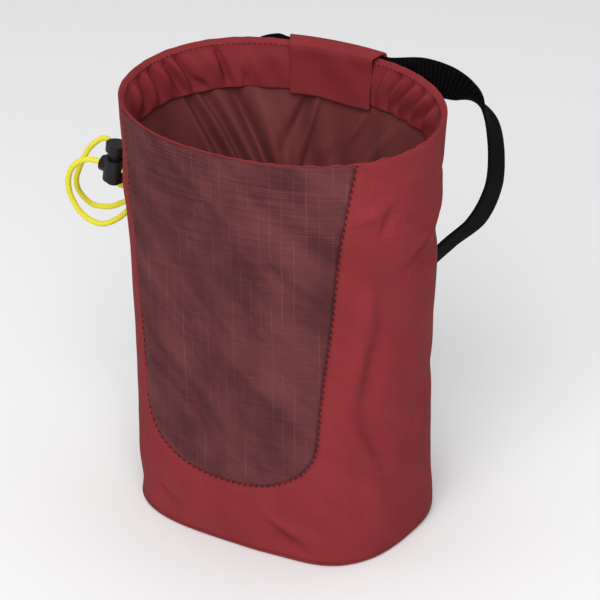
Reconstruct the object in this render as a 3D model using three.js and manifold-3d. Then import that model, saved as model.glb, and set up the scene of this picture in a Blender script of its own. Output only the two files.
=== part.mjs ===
// Climbing chalk bag: a soft cloth bucket with a front panel, a gathered rim collar, a folded
// lining, a webbing belt held in a tunnel at the back, and a drawcord with a sprung cord lock.
// Lengths are millimetres. The bag stands on its base, +Z up, its front towards -Y.
// Angles round the bag start at the middle of the front and grow towards +X.
import * as THREE from "three";
import { mergeVertices } from "three/addons/utils/BufferGeometryUtils.js";
import Module from "manifold-3d";

// Bag
const RIM_WIDTH = 130;
const RIM_DEPTH = 90.8;
const BASE_WIDTH = 114.8;
const BASE_DEPTH = 85;
const HEIGHT = 173.7;
const RIM_RISE = 10.4;
const RIM_SHIFT = -3.4;
const EDGE_RADIUS = 3;
const DENT_DEPTH = 3;

// Cloth and the gaps between its layers
const SHELL_CLOTH = 1.2;
const BASE_CLOTH = 1.5;
const LINING_CLOTH = 1;
const COLLAR_CLOTH = 1.2;
const TUNNEL_CLOTH = 1.2;
const GAP = 0.3;
const SEAM_LIP = 0.8;

// Front panel
const PANEL_FOOT = 29.5;
const PANEL_CORNER = 26;
const PANEL_CORNER_POWER = 2.4;
const PANEL_MIDDLE = -2;
const WINDOW_ABOVE = 1.2;

// Collar
const COLLAR_DEPTH = 18.2;
const COLLAR_LIP = 1.8;
const COLLAR_ROUNDING = 0.9;
const GATHER_DEPTH = 1.6;
const GATHER_COUNT = 28;
const GATHER_SLANT = 0.11;

// Lining
const LINING_TOP = 11;
const LINING_FLOOR = 3.4;
const FOLD_DEPTH = 7;
const FOLD_START = 0.2;
const FOLD_END = 0.125;

// Belt, its tunnel and its buckle
const BELT_WIDTH = 15;
const BELT_THICKNESS = 1.4;
const BELT_RISE = 1.5;
const LOOP_REACH = 65;
const LOOP_DROP = 160;
const LOOP_BEHIND = 10;
const TUNNEL_WIDTH = 41;
const TUNNEL_HEM = 19.6;
const TUNNEL_HEM_OUTSIDE = 22;
const BUCKLE_LENGTH = 24;
const BUCKLE_WALL = 1.8;
const BUCKLE_BAR = 2.4;

// Drawcord and cord lock
const CORD_DIAMETER = 2.3;
const CORD_GAP = 0.45;
const CORD_STEP = 3.8;
const CORD_SIDES = 8;
const CORD_LEAD = 1.6;
const LOCK_PLACE = { x: -74.4, y: -5.8, z: 130.4 };
const LOCK_LEAN = 8;
const BARREL_RADIUS = 4.4;
const BARREL_BELOW = 5.4;
const BARREL_ABOVE = 4;
const EAR_RADIUS = 3.2;
const EAR_REACH = 5.8;
const FOOT_RADIUS = 2.5;
const FOOT_DROP = 7;
const PLUNGER_RADIUS = 2.7;
const BORE_CLEARANCE = 0.3;
const BUTTON_STROKE = 3;
const CAP_RADIUS = 4.3;
const CAP_THICKNESS = 3.2;

// Fineness of the meshes
const COLUMNS = 60;
const COLLAR_COLUMNS = 104;
const ROUND_SIDES = 20;
const CORNER_ROWS = [0.015, 0.06, 0.14, 0.27, 0.45, 0.7];

const MATERIALS = {
  shell: { color: "#93363b", roughness: 0.82, metalness: 0 },
  panel: { color: "#67363a", roughness: 0.85, metalness: 0 },
  lining: { color: "#5d2d2f", roughness: 0.6, metalness: 0 },
  webbing: { color: "#17171a", roughness: 0.8, metalness: 0 },
  cord: { color: "#dbd441", roughness: 0.7, metalness: 0 },
  plastic: { color: "#141416", roughness: 0.45, metalness: 0 },
};

// Plan of the bag at a few heights. Height is a share of HEIGHT. Width and depth say how far the
// plan has grown from the base's size to the rim's. Power 2 is an ellipse, more is squarer.
const SECTIONS = [
  { height: 0.0, width: 0.0, depth: 0.0, power: 3.05 },
  { height: 0.2, width: 0.09, depth: 0.0, power: 2.75 },
  { height: 0.42, width: 0.19, depth: 0.18, power: 2.55 },
  { height: 0.64, width: 0.42, depth: 0.46, power: 2.4 },
  { height: 0.84, width: 0.74, depth: 0.78, power: 2.22 },
  { height: 1.0, width: 1.0, depth: 1.0, power: 2.13 },
];

// Soft dents in the wall. Angle and around are degrees, height and along shares of HEIGHT,
// depth a share of DENT_DEPTH, and a negative depth bulges out.
const DENTS = [
  { angle: 108, height: 0.72, around: 26, along: 0.035, depth: 0.42 },
  { angle: 110, height: 0.875, around: 18, along: 0.014, depth: 0.25 },
  { angle: 100, height: 0.38, around: 24, along: 0.03, depth: 0.25 },
  { angle: 30, height: 0.06, around: 10, along: 0.05, depth: 0.5 },
  { angle: 100, height: 0.03, around: 20, along: 0.06, depth: -0.5 },
  { angle: 48, height: 0.02, around: 13, along: 0.06, depth: -0.45 },
  { angle: -62, height: 0.04, around: 16, along: 0.05, depth: 0.4 },
  { angle: 74, height: 0.3, around: 14, along: 0.2, depth: 0.3 },
  { angle: 60, height: 0.62, around: 10, along: 0.16, depth: -0.25 },
  { angle: -20, height: 0.66, around: 14, along: 0.1, depth: 0.3 },
  { angle: 22, height: 0.42, around: 12, along: 0.12, depth: 0.28 },
  { angle: -62, height: 0.8, around: 12, along: 0.05, depth: -0.3 },
  { angle: 182, height: 0.5, around: 34, along: 0.16, depth: 0.5 },
  { angle: 140, height: 0.25, around: 16, along: 0.12, depth: 0.35 },
  { angle: -140, height: 0.35, around: 18, along: 0.14, depth: 0.35 },
];

// Edges of the front panel: degrees left and right at shares of HEIGHT.
const PANEL_EDGES = [
  { height: 0.0, left: -45, right: 41 },
  { height: 0.4, left: -50, right: 46.2 },
  { height: 0.6, left: -52.8, right: 50 },
  { height: 0.8, left: -55.5, right: 53.3 },
  { height: 1.0, left: -61, right: 58.7 },
];

// How strongly the collar is gathered at each angle in degrees.
const GATHERS = [
  { angle: -180, strength: 0.1 },
  { angle: -160, strength: 0.12 },
  { angle: -142, strength: 0.9 },
  { angle: -90, strength: 1.0 },
  { angle: -55, strength: 0.45 },
  { angle: 0, strength: 0.25 },
  { angle: 60, strength: 0.45 },
  { angle: 95, strength: 0.9 },
  { angle: 138, strength: 1.0 },
  { angle: 152, strength: 0.15 },
  { angle: 180, strength: 0.1 },
];

// Folds of the lining. Each runs from an angle at the top to an angle at the foot, in degrees,
// is so many degrees wide, and depth is a share of FOLD_DEPTH.
const FOLDS = [
  { top: -136, foot: -170, wide: 8, depth: 0.85 },
  { top: -150, foot: -190, wide: 6, depth: 0.6 },
  { top: -118, foot: -150, wide: 9, depth: 0.7 },
  { top: -168, foot: -214, wide: 7, depth: 0.45 },
  { top: 172, foot: 140, wide: 8, depth: 0.3 },
  { top: 150, foot: 118, wide: 6, depth: 0.4 },
  { top: 128, foot: 104, wide: 8, depth: 0.55 },
  { top: 96, foot: 70, wide: 9, depth: 0.5 },
  { top: 30, foot: 48, wide: 12, depth: 0.4 },
  { top: -30, foot: -10, wide: 12, depth: 0.4 },
  { top: -82, foot: -66, wide: 10, depth: 0.5 },
];

// The belt outside its tunnel, from the tunnel's right end round to its left end. Reach is a
// share of LOOP_REACH, drop a share of LOOP_DROP below the back of the rim, behind a share of
// LOOP_BEHIND past the belt's place in the tunnel. Turn is how far, in degrees, the webbing's
// upper edge leans from upright towards the back, and negative towards the front.
const BELT_ROUTE = [
  { reach: 0.54, drop: 0.03, behind: 0.1, turn: -2 },
  { reach: 0.69, drop: 0.036, behind: 0.2, turn: -8 },
  { reach: 0.805, drop: 0.056, behind: 0.4, turn: -28 },
  { reach: 0.885, drop: 0.094, behind: 0.7, turn: -52 },
  { reach: 0.945, drop: 0.142, behind: 0.85, turn: -64 },
  { reach: 0.98, drop: 0.215, behind: 0.82, turn: -66 },
  { reach: 0.97, drop: 0.295, behind: 0.78, turn: -62 },
  { reach: 0.875, drop: 0.39, behind: 0.76, turn: -58 },
  { reach: 0.67, drop: 0.485, behind: 0.8, turn: -64 },
  { reach: 0.47, drop: 0.6, behind: 0.8, turn: -78 },
  { reach: 0.38, drop: 0.73, behind: 0.8, turn: -88 },
  { reach: 0.28, drop: 0.88, behind: 0.8, turn: -90 },
  { reach: 0.06, drop: 0.985, behind: 0.8, turn: -90 },
  { reach: -0.24, drop: 0.98, behind: 0.8, turn: -90 },
  { reach: -0.48, drop: 0.89, behind: 0.8, turn: -90 },
  { reach: -0.62, drop: 0.75, behind: 0.8, turn: -90 },
  { reach: -0.67, drop: 0.62, behind: 0.8, turn: -90 },
  { reach: -0.68, drop: 0.5, behind: 0.8, turn: -90 },
  { reach: -0.68, drop: 0.4, behind: 0.8, turn: -90 },
  { reach: -0.68, drop: 0.3, behind: 0.8, turn: -90 },
  { reach: -0.68, drop: 0.2, behind: 0.8, turn: -88 },
  { reach: -0.65, drop: 0.12, behind: 0.7, turn: -74 },
  { reach: -0.56, drop: 0.064, behind: 0.4, turn: -38 },
  { reach: -0.43, drop: 0.044, behind: 0.1, turn: -8 },
];
const BUCKLE_ROW = 18;

// Where the drawcord leaves the wall: degrees, and millimetres below the rim.
const EYELETS = [
  { angle: -87, drop: 23.5 },
  { angle: -97, drop: 26 },
];

// The drawcord's route between its two eyelets, chosen by hand: out of the upper eyelet, down
// through the cord lock, round the outer strand, a turn near the wall, back round the inner
// strand, down behind the lock and up to the lower eyelet.
const CORD_ROUTE = [
  { x: -68.0, y: -6.8, z: 149.0 },
  { x: -69.1, y: -6.4, z: 146.4 },
  { x: -68.2, y: -6.1, z: 142.6 },
  { x: -66.4, y: -5.8, z: 137.0 },
  { x: -66.3, y: -5.8, z: 132.2 },
  { x: -68.4, y: -5.8, z: 129.8 },
  { x: -71.4, y: -5.8, z: 130.0 },
  { x: -74.4, y: -5.8, z: 130.4 },
  { x: -80.4, y: -5.8, z: 131.2 },
  { x: -86.9, y: -6.8, z: 131.3 },
  { x: -93.3, y: -7.4, z: 127.2 },
  { x: -96.3, y: -7.0, z: 120.1 },
  { x: -95.7, y: -6.0, z: 112.4 },
  { x: -91.1, y: -4.8, z: 105.3 },
  { x: -84.1, y: -2.8, z: 102.3 },
  { x: -77.9, y: 0.7, z: 104.9 },
  { x: -75.0, y: 4.8, z: 108.6 },
  { x: -76.8, y: 9.4, z: 109.4 },
  { x: -81.6, y: 11.4, z: 107.2 },
  { x: -89.7, y: 11.8, z: 102.9 },
  { x: -97.0, y: 10.0, z: 102.9 },
  { x: -100.3, y: 6.4, z: 108.6 },
  { x: -99.8, y: 3.2, z: 115.4 },
  { x: -95.0, y: 1.0, z: 125.6 },
  { x: -90.1, y: 1.2, z: 133.6 },
  { x: -84.8, y: 2.6, z: 137.4 },
  { x: -80.8, y: 3.4, z: 135.2 },
  { x: -80.0, y: 4.0, z: 130.2 },
  { x: -81.6, y: 4.2, z: 124.6 },
  { x: -81.8, y: 4.2, z: 120.4 },
  { x: -78.6, y: 4.2, z: 117.8 },
  { x: -75.0, y: 4.2, z: 120.4 },
  { x: -72.2, y: 4.2, z: 125.8 },
  { x: -69.2, y: 4.3, z: 132.2 },
  { x: -66.9, y: 4.4, z: 138.6 },
  { x: -66.4, y: 4.6, z: 143.6 },
];

const wasm = await Module();
wasm.setup();

const group = new THREE.Group();
group.name = "chalk_bag";

const radians = THREE.MathUtils.degToRad;
const mix = THREE.MathUtils.lerp;

// Smooth value between the rows of a table, by Hermite curves with flat ends.
function readTable(rows, key, at, column) {
  const last = rows.length - 1;
  const place = Math.min(Math.max(at, rows[0][key]), rows[last][key]);
  let i = 0;
  while (i < last - 1 && place > rows[i + 1][key]) i += 1;
  const slope = (a, b) => (rows[b][column] - rows[a][column]) / (rows[b][key] - rows[a][key]);
  const step = rows[i + 1][key] - rows[i][key];
  const t = (place - rows[i][key]) / step;
  const before = slope(Math.max(i - 1, 0), i + 1) * step;
  const after = slope(i, Math.min(i + 2, last)) * step;
  const t2 = t * t;
  const t3 = t2 * t;
  return (2 * t3 - 3 * t2 + 1) * rows[i][column] + (t3 - 2 * t2 + t) * before
    + (3 * t2 - 2 * t3) * rows[i + 1][column] + (t3 - t2) * after;
}

// Degrees from one angle to another, the short way round.
function turnBetween(from, to) {
  return THREE.MathUtils.euclideanModulo(to - from + 180, 360) - 180;
}

function bump(distance, spread) {
  return Math.exp(-((distance / spread) ** 2));
}

function dentDepth(angle, height) {
  const degrees = THREE.MathUtils.radToDeg(angle);
  let depth = 0;
  for (const dent of DENTS) {
    const around = bump(turnBetween(dent.angle, degrees), dent.around);
    depth += dent.depth * DENT_DEPTH * around * bump(height - dent.height, dent.along);
  }
  return depth;
}

// Plan of the bag at a height share, moved inwards by inset.
function planPoint(angle, height, inset) {
  const width = mix(BASE_WIDTH, RIM_WIDTH, readTable(SECTIONS, "height", height, "width")) / 2;
  const depth = mix(BASE_DEPTH, RIM_DEPTH, readTable(SECTIONS, "height", height, "depth")) / 2;
  const power = readTable(SECTIONS, "height", height, "power");
  const inward = inset + dentDepth(angle, height);
  const across = (Math.abs(Math.sin(angle)) / (width - inward)) ** power;
  const along = (Math.abs(Math.cos(angle)) / (depth - inward)) ** power;
  const reach = (across + along) ** (-1 / power);
  return { x: reach * Math.sin(angle), y: RIM_SHIFT * height - reach * Math.cos(angle) };
}

function rimHeight(y) {
  return HEIGHT + (RIM_RISE * y) / RIM_DEPTH;
}

// How far the soft bottom edge curls in at height z.
function edgeCurl(z) {
  const rest = Math.max(EDGE_RADIUS - z, 0);
  return EDGE_RADIUS - Math.sqrt(EDGE_RADIUS ** 2 - rest ** 2);
}

function wallPoint(angle, height, inset) {
  const z = height * rimHeight(planPoint(angle, height, 0).y);
  const plan = planPoint(angle, height, inset + edgeCurl(z));
  return new THREE.Vector3(plan.x, plan.y, z);
}

// Height share of a point so many millimetres below the rim.
function belowRim(angle, drop) {
  return 1 - drop / rimHeight(planPoint(angle, 1, 0).y);
}

function rimPoint(angle, drop, inset) {
  const height = belowRim(angle, drop);
  if (height < 1) return wallPoint(angle, height, inset);
  const point = wallPoint(angle, 1, inset);
  point.z -= drop;
  return point;
}

function meshGeometry(points, triangles) {
  const positions = points.flatMap((point) => [point.x, point.y, point.z]);
  const geometry = new THREE.BufferGeometry();
  geometry.setAttribute("position", new THREE.Float32BufferAttribute(positions, 3));
  geometry.setIndex(triangles);
  return geometry;
}

// Closed solid from rings of points that go round the bag. Closed rings join the last ring to
// the first. Otherwise the first and last rings are each closed by a point at their middle.
function ringSolid(rings, joined) {
  const columns = rings[0].length;
  const points = rings.flat();
  const triangles = [];
  const bands = joined ? rings.length : rings.length - 1;
  for (let row = 0; row < bands; row += 1) {
    const next = (row + 1) % rings.length;
    for (let column = 0; column < columns; column += 1) {
      const beside = (column + 1) % columns;
      const a = row * columns + column;
      const b = row * columns + beside;
      const c = next * columns + beside;
      const d = next * columns + column;
      triangles.push(a, b, c, a, c, d);
    }
  }
  if (!joined) {
    for (const row of [0, rings.length - 1]) {
      const middle = new THREE.Vector3();
      for (const point of rings[row]) middle.addScaledVector(point, 1 / columns);
      points.push(middle);
      const centre = points.length - 1;
      for (let column = 0; column < columns; column += 1) {
        const a = row * columns + column;
        const b = row * columns + ((column + 1) % columns);
        triangles.push(...(row === 0 ? [centre, b, a] : [centre, a, b]));
      }
    }
  }
  return meshGeometry(points, triangles);
}

// Closed solid between two grids of rows and columns, the outer one facing out. A loop joins
// its last row to its first.
function slabSolid(outer, inner, loop) {
  const rows = outer.length;
  const columns = outer[0].length;
  const points = [...outer.flat(), ...inner.flat()];
  const under = rows * columns;
  const triangles = [];
  const quad = (a, b, c, d) => triangles.push(a, b, c, a, c, d);
  for (let row = 0; row < (loop ? rows : rows - 1); row += 1) {
    const here = row * columns;
    const next = ((row + 1) % rows) * columns;
    for (let column = 0; column < columns - 1; column += 1) {
      const beside = column + 1;
      const corners = [here + column, here + beside, next + beside, next + column];
      quad(...corners);
      quad(...corners.map((corner) => under + corner).reverse());
    }
    const end = columns - 1;
    quad(here, next, under + next, under + here);
    quad(next + end, here + end, under + here + end, under + next + end);
  }
  if (!loop) {
    const top = (rows - 1) * columns;
    for (let column = 0; column < columns - 1; column += 1) {
      quad(column + 1, column, under + column, under + column + 1);
      quad(top + column, top + column + 1, under + top + column + 1, under + top + column);
    }
  }
  return meshGeometry(points, triangles);
}

function toManifold(geometry) {
  const bare = geometry.clone();
  bare.deleteAttribute("normal");
  bare.deleteAttribute("uv");
  const merged = mergeVertices(bare, 1e-5);
  const vertProperties = new Float32Array(merged.attributes.position.array);
  const triVerts = new Uint32Array(merged.index.array);
  return new wasm.Manifold(new wasm.Mesh({ numProp: 3, vertProperties, triVerts }));
}

function fromManifold(solid) {
  const mesh = solid.getMesh();
  const geometry = new THREE.BufferGeometry();
  geometry.setAttribute("position", new THREE.Float32BufferAttribute(mesh.vertProperties, 3));
  geometry.setIndex(Array.from(mesh.triVerts));
  return geometry;
}

function cut(geometry, ...cutters) {
  let solid = toManifold(geometry);
  for (const cutter of cutters) solid = solid.subtract(toManifold(cutter));
  return fromManifold(solid);
}

function join(first, ...others) {
  let solid = toManifold(first);
  for (const other of others) solid = solid.add(toManifold(other));
  return fromManifold(solid);
}

function addMesh(name, material, geometry, parent = group) {
  geometry.computeVertexNormals();
  const mesh = new THREE.Mesh(geometry, new THREE.MeshStandardMaterial(MATERIALS[material]));
  mesh.name = name;
  parent.add(mesh);
}

// Angles of equal steps round the bag.
function columnAngles(count) {
  return Array.from({ length: count }, (_, i) => (i / count) * 2 * Math.PI);
}

// Numbers in equal steps from one value to another, both included.
function steps(from, to, count) {
  return Array.from({ length: count + 1 }, (_, i) => mix(from, to, i / count));
}

// Height shares of the rows that the shell and the lining have in common.
const WALL_ROWS = steps(0.1, 0.9, 6);

// Where an eyelet's axis enters and leaves the shell, and its direction outwards.
function eyeletAxis(eyelet) {
  const angle = radians(eyelet.angle);
  const height = belowRim(angle, eyelet.drop);
  const inside = wallPoint(angle, height, SHELL_CLOTH);
  const outside = wallPoint(angle, height, 0);
  return { inside, outside, direction: outside.clone().sub(inside).normalize() };
}

function rodBetween(from, to, radius, sides) {
  const rod = new THREE.CylinderGeometry(radius, radius, from.distanceTo(to), sides);
  const direction = to.clone().sub(from).normalize();
  const upright = new THREE.Vector3(0, 1, 0);
  rod.applyQuaternion(new THREE.Quaternion().setFromUnitVectors(upright, direction));
  rod.translate(...from.clone().lerp(to, 0.5).toArray());
  return rod;
}

function eyeletHole(eyelet) {
  const { inside, outside, direction } = eyeletAxis(eyelet);
  const from = inside.clone().addScaledVector(direction, -SHELL_CLOTH);
  const to = outside.clone().addScaledVector(direction, SHELL_CLOTH);
  return rodBetween(from, to, CORD_DIAMETER / 2 + CORD_GAP, ROUND_SIDES);
}

// Left and right edge of the front panel at a height share, in radians. The foot has round
// corners, so the edges draw together there.
function panelEdges(height) {
  const foot = PANEL_FOOT / HEIGHT;
  const climb = Math.min(Math.max((height - foot) * HEIGHT / PANEL_CORNER, 0), 1);
  const fullness = (1 - (1 - climb) ** PANEL_CORNER_POWER) ** (1 / PANEL_CORNER_POWER);
  return ["left", "right"].map((column) => {
    const edge = readTable(PANEL_EDGES, "height", height, column);
    return radians(mix(PANEL_MIDDLE, edge, fullness));
  });
}

// Grid of points on the front panel. Margin widens the outline, inset is the depth in the cloth.
function panelGrid(margin, inset) {
  const foot = PANEL_FOOT / HEIGHT;
  const corner = PANEL_CORNER / HEIGHT;
  const above = margin > 0 ? WINDOW_ABOVE : 0;
  const top = belowRim(0, COLLAR_LIP + GAP - above);
  const curved = CORNER_ROWS.map((share) => foot + share * corner);
  const heights = [...curved, ...steps(foot + corner, top, 9)];
  return heights.map((height, row) => {
    const lower = row === 0 ? height - margin / HEIGHT : height;
    const [left, right] = panelEdges(height);
    const spread = margin / (RIM_WIDTH / 2);
    return steps(left - spread, right + spread, 14).map((angle) => {
      const crown = row < heights.length - 1 ? 0 : belowRim(angle, 0) - belowRim(0, 0);
      return wallPoint(angle, lower + crown, inset);
    });
  });
}

function buildShell() {
  const angles = columnAngles(COLUMNS);
  const foot = (BASE_CLOTH + GAP) / HEIGHT;
  const rows = [foot, EDGE_RADIUS / HEIGHT, ...WALL_ROWS, null];
  const ring = (height, inset) => angles.map((angle) => {
    const share = height ?? belowRim(angle, COLLAR_LIP + GAP);
    return wallPoint(angle, share, inset);
  });
  const outer = rows.map((height) => ring(height, 0));
  const inner = rows.map((height) => ring(height, SHELL_CLOTH)).reverse();
  const windowFace = panelGrid(GAP, -DENT_DEPTH);
  const window = slabSolid(windowFace, panelGrid(GAP, DENT_DEPTH + SHELL_CLOTH), false);
  const holes = EYELETS.map(eyeletHole);
  addMesh("side_shell", "shell", cut(ringSolid([...outer, ...inner], true), window, ...holes));
}

function buildPanel() {
  addMesh("front_panel", "panel", slabSolid(panelGrid(0, 0), panelGrid(0, SHELL_CLOTH), false));
}

function buildBase() {
  const angles = columnAngles(COLUMNS);
  const lip = edgeCurl(BASE_CLOTH + GAP) - SEAM_LIP / 2;
  const ring = (z, inset) => angles.map((angle) => {
    const plan = planPoint(angle, 0, inset);
    return new THREE.Vector3(plan.x, plan.y, z);
  });
  const rings = [ring(0, lip + SEAM_LIP), ring(BASE_CLOTH / 2, lip), ring(BASE_CLOTH, lip)];
  addMesh("base_panel", "shell", ringSolid(rings, false));
}

// Inward ripple of the gathered collar, none at the rim and full at its hem.
function gatherDepth(angle, drop) {
  const degrees = THREE.MathUtils.radToDeg(angle);
  const strength = readTable(GATHERS, "angle", turnBetween(0, degrees), "strength");
  const slant = GATHER_SLANT * drop * Math.sign(Math.sin(angle));
  const wave = (1 - Math.cos(GATHER_COUNT * angle + slant)) / 2;
  return GATHER_DEPTH * strength * wave * Math.min(Math.max(drop / COLLAR_DEPTH, 0), 1);
}

const BAND_OUTER = SHELL_CLOTH + GAP + LINING_CLOTH + GAP;
const BAND_INNER = BAND_OUTER + COLLAR_CLOTH;

function buildCollar() {
  const bevel = COLLAR_ROUNDING;
  const section = [
    { inset: BAND_OUTER, drop: COLLAR_DEPTH },
    { inset: BAND_OUTER, drop: COLLAR_DEPTH / 2 },
    { inset: BAND_OUTER, drop: COLLAR_LIP },
    { inset: 0, drop: COLLAR_LIP },
    { inset: 0, drop: bevel },
    { inset: bevel, drop: 0 },
    { inset: BAND_INNER - bevel, drop: 0 },
    { inset: BAND_INNER, drop: bevel },
    { inset: BAND_INNER, drop: COLLAR_DEPTH * 0.3 },
    { inset: BAND_INNER, drop: COLLAR_DEPTH * 0.65 },
    { inset: BAND_INNER, drop: COLLAR_DEPTH },
  ];
  const rings = section.map(({ inset, drop }) => columnAngles(COLLAR_COLUMNS).map((angle) => {
    const ripple = inset === BAND_OUTER ? 0 : gatherDepth(angle, drop - COLLAR_LIP);
    return rimPoint(angle, drop, inset + ripple);
  }));
  addMesh("rim_collar", "shell", ringSolid(rings, true));
}

// Inward depth of the lining's folds. They start below the collar and fade out at the floor.
function foldDepth(angle, height) {
  const degrees = THREE.MathUtils.radToDeg(angle);
  const top = Math.min(belowRim(angle, COLLAR_DEPTH + GAP), WALL_ROWS.at(-1));
  const down = Math.min(Math.max(1 - height / top, 0), 1);
  const fade = Math.min(down / FOLD_START, 1) * Math.min(height / FOLD_END, 1);
  let depth = 0;
  for (const fold of FOLDS) {
    depth += fold.depth * bump(turnBetween(mix(fold.top, fold.foot, down), degrees), fold.wide);
  }
  return FOLD_DEPTH * depth * fade;
}

function buildLining() {
  const angles = columnAngles(COLUMNS);
  const wallInset = SHELL_CLOTH + GAP;
  const floor = LINING_FLOOR / HEIGHT;
  const rows = [floor, ...WALL_ROWS, null];
  const ring = (height, inset, rise) => angles.map((angle) => {
    const share = height ?? belowRim(angle, LINING_TOP);
    const point = wallPoint(angle, share, inset + foldDepth(angle, share));
    point.z += rise;
    return point;
  });
  const outer = rows.map((height) => ring(height, wallInset, 0));
  const inner = rows.map((height, row) => {
    const rise = row === 0 ? LINING_CLOTH : 0;
    return ring(height, wallInset + LINING_CLOTH, rise);
  });
  const flat = (rise, inset) => angles.map((angle) => {
    const plan = planPoint(angle, 0, inset);
    return new THREE.Vector3(plan.x, plan.y, LINING_FLOOR + rise);
  });
  const half = BASE_DEPTH / 4;
  const rings = [flat(0, half), ...outer, ...inner.reverse(), flat(LINING_CLOTH, half)];
  addMesh("lining", "lining", ringSolid(rings, false));
}

const BACK_REACH = RIM_DEPTH / 2;
const TUNNEL_BELT_INSET = -(GAP + BELT_THICKNESS / 2);

// Angle round the bag of a place so far to the side of the middle of the back.
function backAngle(x) {
  return Math.PI - Math.atan2(x, BACK_REACH);
}

// The belt's middle at a place in the tunnel.
function tunnelBeltPoint(x) {
  return rimPoint(backAngle(x), BELT_WIDTH / 2 - BELT_RISE, TUNNEL_BELT_INSET);
}

// The tunnel is one strip of cloth, sewn inside the collar, folded over the rim and the belt,
// and sewn to the shell below the belt. Its path holds insets and drops of its middle layer.
function buildTunnel() {
  const half = TUNNEL_CLOTH / 2;
  const inside = BAND_INNER + GATHER_DEPTH * 0.2 + GAP + half;
  const outside = TUNNEL_BELT_INSET - BELT_THICKNESS / 2 - GAP - half;
  const overRim = -(GAP + half);
  const overBelt = -(BELT_RISE + GAP + half);
  const belowBelt = BELT_WIDTH - BELT_RISE + GAP + half;
  const path = [
    { inset: inside, drop: TUNNEL_HEM },
    { inset: inside, drop: TUNNEL_HEM / 2 },
    { inset: inside, drop: half },
    { inset: inside - half, drop: overRim - GAP },
    { inset: BAND_INNER / 2, drop: (overRim + overBelt) / 2 - GAP },
    { inset: half, drop: overBelt },
    { inset: outside + half, drop: overBelt },
    { inset: outside, drop: overBelt + TUNNEL_CLOTH },
    { inset: outside, drop: BELT_WIDTH / 2 },
    { inset: outside, drop: belowBelt },
    { inset: -(GAP + half), drop: belowBelt + 2 * BELT_THICKNESS },
    { inset: -(GAP + half), drop: TUNNEL_HEM_OUTSIDE },
  ];
  const columns = steps(-TUNNEL_WIDTH / 2, TUNNEL_WIDTH / 2, 8).map(backAngle);
  const side = (offset) => path.map((point, row) => {
    const before = path[Math.max(row - 1, 0)];
    const after = path[Math.min(row + 1, path.length - 1)];
    const along = Math.hypot(after.inset - before.inset, after.drop - before.drop);
    const inset = point.inset - ((after.drop - before.drop) / along) * offset;
    const drop = point.drop + ((after.inset - before.inset) / along) * offset;
    return columns.map((angle) => rimPoint(angle, drop, inset));
  });
  addMesh("belt_tunnel", "shell", slabSolid(side(half), side(-half), false));
}

// Stations along the closed belt: middle point and turn of the webbing.
function beltStations() {
  const reachOut = TUNNEL_WIDTH / 2 + 2;
  const tunnel = steps(-reachOut, reachOut, 6).map((x) => ({ point: tunnelBeltPoint(x), turn: 0 }));
  const place = tunnelBeltPoint(0);
  const free = BELT_ROUTE.map(({ reach, drop, behind, turn }) => ({
    point: new THREE.Vector3(
      reach * LOOP_REACH,
      place.y + behind * LOOP_BEHIND,
      rimHeight(place.y) - drop * LOOP_DROP,
    ),
    turn,
  }));
  return [...tunnel, ...free];
}

const STATIONS = beltStations();
const TUNNEL_STATIONS = STATIONS.length - BELT_ROUTE.length;
const BELT_POINTS = STATIONS.map((station) => station.point);
const BELT_CURVE = new THREE.CatmullRomCurve3(BELT_POINTS, true, "centripetal");

// Middle, run, width and thickness directions of the belt at a station number.
function beltFrame(at) {
  const count = STATIONS.length;
  const share = THREE.MathUtils.euclideanModulo(at / count, 1);
  const here = Math.floor(share * count) % count;
  const turn = mix(STATIONS[here].turn, STATIONS[(here + 1) % count].turn, share * count - here);
  const run = BELT_CURVE.getTangent(share);
  const width = new THREE.Vector3(0, Math.sin(radians(turn)), Math.cos(radians(turn)));
  width.addScaledVector(run, -width.dot(run)).normalize();
  return { middle: BELT_CURVE.getPoint(share), run, width, face: run.clone().cross(width) };
}

function buildBelt() {
  const perStation = 2;
  const count = STATIONS.length * perStation;
  const side = (sign) => Array.from({ length: count }, (_, i) => {
    const { middle, width, face } = beltFrame(i / perStation);
    return steps(-0.5, 0.5, 2).map((share) => middle.clone()
      .addScaledVector(width, share * BELT_WIDTH)
      .addScaledVector(face, (sign * BELT_THICKNESS) / 2));
  });
  addMesh("belt", "webbing", slabSolid(side(-1), side(1), true));
}

function buildBuckle() {
  const { middle, run, width, face } = beltFrame(TUNNEL_STATIONS + BUCKLE_ROW);
  const across = BELT_WIDTH + 2 * (GAP + BUCKLE_BAR);
  const thick = BELT_THICKNESS + 2 * (GAP + BUCKLE_WALL);
  const corner = thick / 3;
  const outline = new THREE.Shape();
  const halfAcross = across / 2;
  const halfThick = thick / 2;
  outline.moveTo(-halfAcross + corner, -halfThick);
  outline.lineTo(halfAcross - corner, -halfThick);
  outline.quadraticCurveTo(halfAcross, -halfThick, halfAcross, 0);
  outline.quadraticCurveTo(halfAcross, halfThick, halfAcross - corner, halfThick);
  outline.lineTo(-halfAcross + corner, halfThick);
  outline.quadraticCurveTo(-halfAcross, halfThick, -halfAcross, 0);
  outline.quadraticCurveTo(-halfAcross, -halfThick, -halfAcross + corner, -halfThick);
  const extrusion = { depth: BUCKLE_LENGTH, bevelEnabled: false, curveSegments: 4 };
  const body = new THREE.ExtrudeGeometry(outline, extrusion);
  body.translate(0, 0, -BUCKLE_LENGTH / 2);
  const slotAcross = BELT_WIDTH + 2 * GAP;
  const slotThick = BELT_THICKNESS + 2 * GAP;
  const slot = new THREE.BoxGeometry(slotAcross, slotThick, BUCKLE_LENGTH * 2);
  const buckle = cut(body, slot);
  buckle.applyMatrix4(new THREE.Matrix4().makeBasis(width, face, run));
  buckle.translate(...middle.toArray());
  addMesh("belt_buckle", "plastic", buckle);
}

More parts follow.
